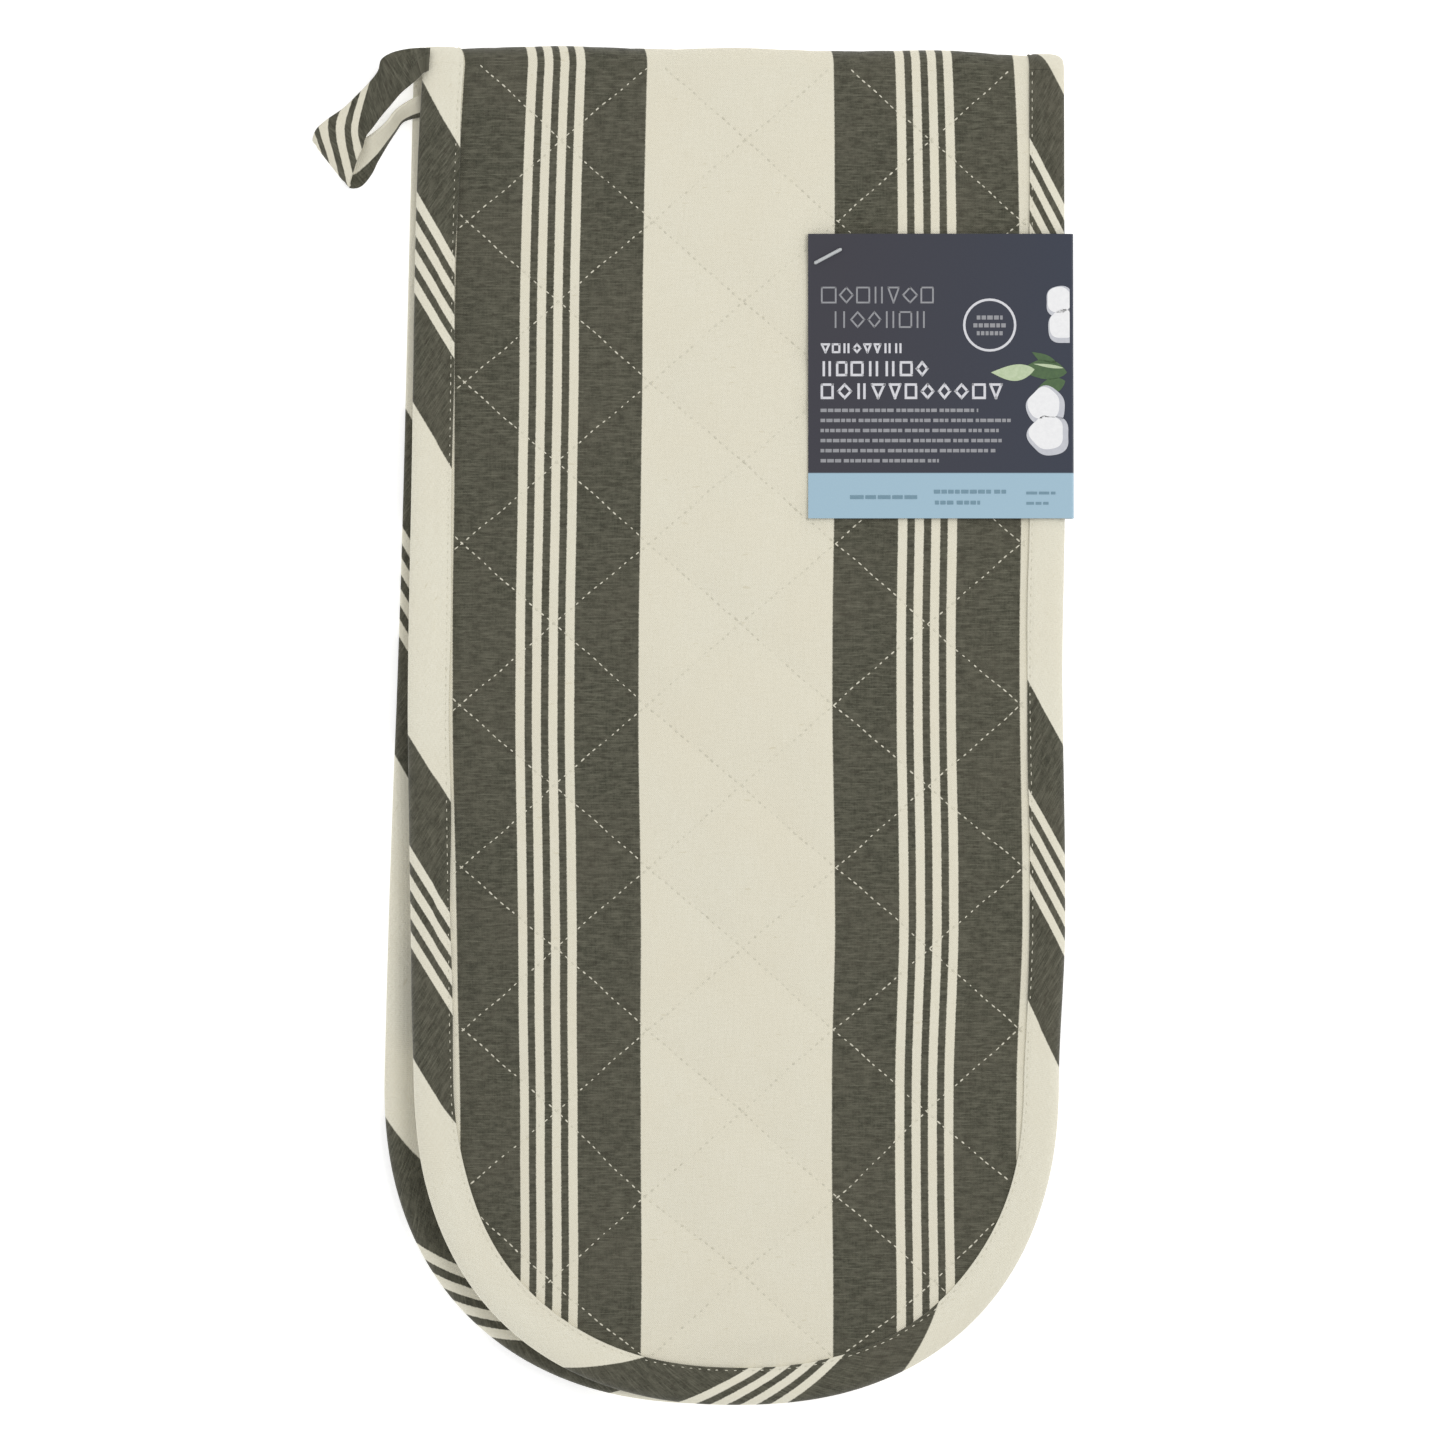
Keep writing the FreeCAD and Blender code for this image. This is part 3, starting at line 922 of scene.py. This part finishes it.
def spline(points, count):
    """A smooth line through given control points, evenly sampled along its length."""
    points = np.asarray(points, float)
    padded = np.concatenate([2 * points[:1] - points[1:2], points, 2 * points[-1:] - points[-2:-1]])
    out = []
    for i in range(1, len(padded) - 2):
        p0, p1, p2, p3 = padded[i - 1:i + 3]
        for t in np.linspace(0, 1, 24, endpoint=False):
            out.append(0.5 * (2 * p1 + (p2 - p0) * t + (2 * p0 - 5 * p1 + 4 * p2 - p3) * t * t
                              + (3 * p1 - p0 - 3 * p2 + p3) * t ** 3))
    out.append(padded[-2])
    out = np.array(out)
    length = run_length(out[:, :3])
    even = np.linspace(0, length[-1], count)
    return np.stack([np.interp(even, length, out[:, i]) for i in range(out.shape[1])], axis=-1), even


def make_loop():
    """A flat strap sewn to the edge by both ends, creased slantwise where it turns back.

    Each row is the middle of the strap, then half its width as a vector towards the outer edge.
    """
    rows = [
        (-90.1, 195.6, 11.1, 0.2, 3.3, -0.9), (-92.6, 195.2, 11.3, -0.6, 3.7, -0.8),
        (-95.4, 194.3, 11.0, -2.1, 4.2, -0.5), (-98.3, 193.0, 10.3, -3.1, 4.5, -0.2),
        (-101.5, 190.6, 9.6, -2.8, 5.0, 0.0), (-103.6, 187.1, 9.0, -1.7, 5.2, 0.0),
        (-106.3, 183.8, 8.6, -1.9, 4.8, 0.0), (-109.1, 180.6, 8.0, -2.2, 4.9, 0.0),
        (-112.2, 177.3, 7.4, -3.2, 4.3, 0.0), (-114.9, 174.3, 6.5, -5.0, 4.3, -0.1),
        (-117.4, 171.1, 5.3, -5.8, 4.8, -0.2), (-118.8, 167.6, 3.9, -5.6, 6.0, -0.1),
        (-119.0, 165.5, 2.5, -5.3, 6.9, 0.0), (-116.0, 165.9, 1.3, -5.4, 7.1, 0.2),
        (-111.5, 167.8, 1.7, -4.0, 5.5, 0.7), (-107.4, 169.8, 3.2, -2.1, 3.0, 2.2),
        (-104.0, 173.3, 4.2, -1.3, 1.8, 3.1), (-101.4, 176.4, 4.8, -1.0, 1.3, 3.5),
        (-99.4, 179.1, 5.0, -0.9, 1.4, 3.2), (-96.4, 180.9, 5.7, -0.5, 2.3, 2.0),
        (-92.9, 182.1, 6.1, -0.4, 3.1, 0.5), (-89.5, 182.7, 6.1, 0.0, 3.2, 0.2),
    ]
    path, length = spline(rows, 150)
    centre, half = path[:, :3], path[:, 3:]
    wide = unit(half)
    up = unit(np.cross(wide, unit(np.gradient(centre, axis=0))))
    reach = np.linalg.norm(half, axis=1)
    a = np.linspace(-1, 1, 21)
    thick = 0.7 * (1 - np.abs(a) ** 8 * 0.45) - 0.2 * np.exp(-(((np.abs(a) - 0.8) / 0.06) ** 2))
    flat = centre[:, None] + (reach[:, None] * a)[..., None] * wide[:, None]
    raised = thick[None, :, None] * up[:, None]
    ring = np.concatenate([flat + raised, (flat - raised)[:, ::-1]], axis=1)
    half_width = 6.5
    across = np.concatenate([a, a[::-1]]) * half_width
    crease = length[int(np.argmin(centre[:, 0]))]
    # The upper leg crosses the stripes at a slant; the lower one shows a plain back with one dark edge.
    dark_from = 28.8
    upper_leg = np.maximum(27.3 + 0.71 * (length[:, None] + 1.1 * across[None, :]), dark_from)
    lower_leg = 31.2 - (across[None, :] + half_width) + 0 * length[:, None]
    beyond = (length > crease + 0.6)[:, None]
    uv = np.stack([np.where(beyond, lower_leg, upper_leg), length[:, None] * 0.8 + 0 * across], axis=-1)
    obj = dress(tube("hanging_loop_strap", ring, uv), "loop_canvas", STRIPED)
    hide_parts("hanging_loop")
    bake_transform(obj)


CARD_X0, CARD_X1, CARD_Y0, CARD_Y1 = 20.8, 98.2, 60.8, 144.2
CARD_BEND_X = CARD_X1 - 0.6
CARD_BACK_X = 40.0


def card_height(x, y):
    """The card lies on the tops of the quilting, bowed a little."""
    return base_height(FOLD_Y - y) + 1.3 + 0.4 * np.sin((x - 20) / 78 * math.pi)


def make_card():
    """A card folded round the right edge: a printed front, a bend and a shorter leaf behind the strap."""
    y = np.linspace(CARD_Y0, CARD_Y1, 40)
    front_x = np.linspace(CARD_X0, CARD_BEND_X, 30)
    turn = np.linspace(math.pi / 2, -math.pi / 2, 9)[1:-1]
    back_x = np.linspace(CARD_BEND_X, CARD_BACK_X, 16)
    gauge = 0.38
    rings, uvs = [], []
    for yy in y:
        top = card_height(front_x, yy)
        end, low = top[-1], base_height(FOLD_Y - yy) - 5.2
        middle, r = (end + low) / 2, (end - low) / 2
        xs = np.concatenate([front_x, CARD_BEND_X + 0.9 * np.cos(turn), back_x])
        zs = np.concatenate([top, middle + r * np.sin(turn), np.full(len(back_x), low)])
        line = np.stack([xs, np.full(len(xs), yy), zs], axis=-1)
        d = np.gradient(line, axis=0)
        normal = unit(np.stack([-d[:, 2], 0 * d[:, 0], d[:, 0]], axis=-1))
        rings.append(np.concatenate([line, (line - normal * gauge)[::-1]]))
        across = run_length(line) + CARD_X0
        uvs.append(np.stack([np.concatenate([across, across[::-1]]), np.full(2 * len(xs), yy)], axis=-1))
    obj = tube("card_sleeve_board", np.array(rings), np.array(uvs), flip=True, smooth_faces=False)
    dress(obj, "printed_card", card_material())
    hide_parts("card_sleeve")
    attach(obj, "front_strap")


def make_print():
    """Plain marks where a maker's print would be: rows of figures and blocks, a ring, leaves and bolls."""
    inks = {
        "bright": ink_material("pale_ink", rgb(214, 213, 216), rgb(186, 187, 194)),
        "faint": ink_material("grey_ink", rgb(150, 150, 154), rgb(122, 123, 128)),
        "soft": ink_material("blue_ink", rgb(92, 124, 141), rgb(114, 144, 159)),
        "green": ink_material("leaf_ink", rgb(44, 72, 40), rgb(76, 104, 60)),
        "lime": ink_material("young_leaf_ink", rgb(150, 170, 128), rgb(196, 206, 178)),
        "shade": ink_material("boll_shade_ink", rgb(168, 170, 178), rgb(196, 197, 202)),
        "boll": ink_material("boll_ink", rgb(232, 232, 232), rgb(214, 214, 216)),
    }
    rng = np.random.default_rng(31)
    shapes = {kind: [] for kind in inks}

    def bar(kind, x0, y0, width, height):
        steps = max(int(width / 4), 2)
        xs = np.linspace(x0, x0 + width, steps)
        shapes[kind].append(np.concatenate([np.column_stack([xs, np.full(steps, y0)]),
                                            np.column_stack([xs[::-1], np.full(steps, y0 + height)])]))

    def words(kind, x0, x1, y, height, block, space):
        """A row of small blocks with wider gaps now and then, standing for a line of words."""
        left = rng.integers(3, 9)
        while x0 < x1:
            width = min(block * rng.uniform(0.65, 1.3), x1 - x0)
            if width > 0.25 * block:
                bar(kind, x0, y - height / 2, width, height)
            left -= 1
            x0 += width + (space if left else 2.4 * space)
            left = left or rng.integers(3, 9)

    def stroke(kind, x0, y0, x1, y1, line):
        length = math.hypot(x1 - x0, y1 - y0)
        dx, dy = (x1 - x0) / length * line / 2, (y1 - y0) / length * line / 2
        shapes[kind].append([(x0 - dx - dy, y0 - dy + dx), (x0 - dx + dy, y0 - dy - dx),
                             (x1 + dx + dy, y1 + dy - dx), (x1 + dx - dy, y1 + dy + dx)])

    def mark(kind, x, y, width, height, line):
        """A small shape that is no letter: a diamond, a square, two bars or a triangle on its point."""
        figure = (
            ((0, 0.5), (0.5, 1), (1, 0.5), (0.5, 0), (0, 0.5)),
            ((0, 0), (1, 0), (1, 1), (0, 1), (0, 0)),
            ((0.2, 0), (0.2, 1), None, (0.8, 0), (0.8, 1)),
            ((0, 1), (1, 1), (0.5, 0), (0, 1)),
        )[rng.integers(0, 4)]
        for a, b in zip(figure, figure[1:]):
            if a and b:
                stroke(kind, *(c for p in (a, b) for c in (x + p[0] * width, y + (p[1] - 0.5) * height)), line)

    for kind, x0, x1, y, high, line, gap in (
        ("faint", 24.8, 56.0, 126.2, 4.4, 0.5, 1.2), ("faint", 28.0, 56.5, 119.0, 4.4, 0.5, 1.2),
        ("bright", 24.8, 49.0, 110.6, 2.3, 0.6, 1.1), ("bright", 24.8, 58.5, 104.6, 3.7, 0.72, 1.6),
        ("bright", 24.8, 79.5, 98.0, 3.9, 0.72, 1.7),
    ):
        while x0 < x1 - 1.5:
            width = high * rng.uniform(0.7, 0.95)
            mark(kind, x0, y, width, high, line)
            x0 += width + gap
    for i, x1 in enumerate((70.5, 80.0, 76.5, 77.5, 75.5, 59.0)):
        words("faint", 24.4, x1, 92.4 - 2.95 * i, 1.0, 1.5, 0.32)
    for row in ((33.0, 54.0, 67.0, 1.1, 3.2, 0.5), (57.5, 79.0, 68.6, 1.1, 1.7, 0.4),
                (57.8, 71.0, 65.4, 1.1, 1.7, 0.4), (84.5, 93.0, 68.2, 0.8, 2.6, 0.5),
                (84.5, 91.0, 65.2, 0.8, 2.2, 0.5)):
        words("soft", *row)
    ring_x, ring_y, inside, outside = 73.9, 117.4, 7.1, 7.8
    for i in range(36):
        t0, t1 = math.tau * i / 36, math.tau * (i + 1) / 36
        shapes["bright"].append([(ring_x + r * math.cos(t), ring_y + r * math.sin(t))
                                 for r, t in ((inside, t0), (outside, t0), (outside, t1), (inside, t1))])
    for y, reach in ((119.6, 3.8), (117.3, 4.8), (115.0, 3.8)):
        words("faint", ring_x - reach, ring_x + reach, y, 1.2, 1.3, 0.35)

    def leaf(x0, y0, angle, length, width, bend=0.0):
        t = np.linspace(0, 1, 16)
        half = width * np.sin(math.pi * t ** 0.8)
        mid = bend * np.sin(math.pi * t)
        along = np.concatenate([t, t[::-1]]) * length
        off = np.concatenate([mid + half, (mid - half)[::-1]])
        c, k = math.cos(math.radians(angle)), math.sin(math.radians(angle))
        return np.column_stack([x0 + along * c - off * k, y0 + along * k + off * c])

    shapes["green"] += [leaf(96.5, 103.5, 178, 14.0, 3.0, -0.8), leaf(96.0, 101.0, 200, 9.5, 2.3),
                        leaf(94.0, 105.0, 150, 9.0, 1.5)]
    shapes["lime"] += [leaf(87.0, 104.4, 184, 12.8, 2.4, 0.6), leaf(95.5, 104.8, 172, 9.0, 0.5)]

    def lobes(kind, cx, cy, r, seed, dx=0.0, dy=0.0):
        """A round, slightly lobed tuft, cut off where the card bends."""
        turn = np.linspace(0, math.tau, 48, endpoint=False)
        rim = r * (1 + 0.05 * np.cos(3 * turn + seed) + 0.035 * np.cos(5 * turn - seed))
        shapes[kind].append([(min(cx + dx + q * math.cos(t), CARD_BEND_X - 0.3), cy + dy + q * math.sin(t))
                             for q, t in zip(rim, turn)])

    tufts = ((94.9, 124.2, 4.7), (96.0, 117.0, 5.2), (90.3, 93.6, 5.7), (91.2, 85.2, 6.1))
    for seed, (cx, cy, r) in enumerate(tufts):
        lobes("shade", cx, cy, r, seed)
        lobes("boll", cx, cy, r * 0.82, seed, -0.10 * r, 0.12 * r)
        lobes("shade", cx, cy, r * 0.16, seed + 2, 0.42 * r, -0.30 * r)
    for order, (kind, ink) in enumerate(inks.items()):
        points, faces = [], []
        for i, shape in enumerate(shapes[kind]):
            x, y = np.asarray(shape, float).T
            lift = 0.04 + 0.012 * order + 0.00002 * i
            faces.append(tuple(range(len(points), len(points) + len(x))))
            points += list(np.column_stack([x, y, card_height(x, y) + lift]))
        obj = dress(new_mesh("card_print_" + kind, points, faces, smooth_faces=False), "printed_card", ink)
        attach(obj, "front_strap")


def make_pin():
    """Nylon tag pin: a round-ended bar on the card, a thin filament through the strap and a flat bar behind."""
    centre = np.array([26.606, 137.49, 14.73])
    axis = np.array([0.0008, 0.0667, 0.9978])
    heading = math.radians(28.0)
    along = np.array([math.cos(heading), math.sin(heading), 0.0])
    side = np.cross(axis, along)
    points, faces = [], []

    def rod(start, direction, length, radius, round_ends, sides=14):
        across = unit(np.cross(direction, [0.3, 0.9, 0.2]))
        other = np.cross(direction, across)
        if round_ends:
            cap = np.linspace(0.15, math.pi / 2, 6)
            t = np.concatenate([radius * (1 - np.cos(cap)), length - radius * (1 - np.cos(cap[::-1]))])
            r = np.concatenate([radius * np.sin(cap), radius * np.sin(cap[::-1])])
        else:
            t = np.linspace(0, length, 8)
            r = radius * (1 + 0.35 * np.exp(-t / 0.5) + 0.35 * np.exp(-(length - t) / 0.5))
        faces.extend(tube_faces(len(t), sides, len(points)))
        for a, b in zip(t, r):
            for k in range(sides):
                w = math.tau * k / sides
                points.append(start + direction * a + b * (across * math.cos(w) + other * math.sin(w)))

    bar, back_bar = 9.2, 3.4
    rod(centre + axis * 1.75 - along * bar / 2, along, bar, 0.52, True)
    rod(centre - axis * 4.9, axis, 6.6, 0.3, False)
    rod(centre - axis * 5.0 - side * back_bar / 2, side, back_bar, 0.45, True)
    obj = dress(new_mesh("tag_pin_nylon", points, faces), "tag_plastic", nylon_material())
    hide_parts("tag_pin")
    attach(obj, "tag_pin")


make_stage()
make_front_panel()
make_back_panel()
make_fold_panel()
for half in ("front", "back"):
    make_edge_binding(half)
for end in ("left", "right"):
    make_fold_binding(end)
for half in ("front", "back"):
    make_pocket(half)
make_quilting_threads()
for half in ("front", "back"):
    make_pocket_stitches(half)
for half in ("front", "back"):
    make_topstitch(half)
make_loop()
make_card()
make_print()
make_pin()
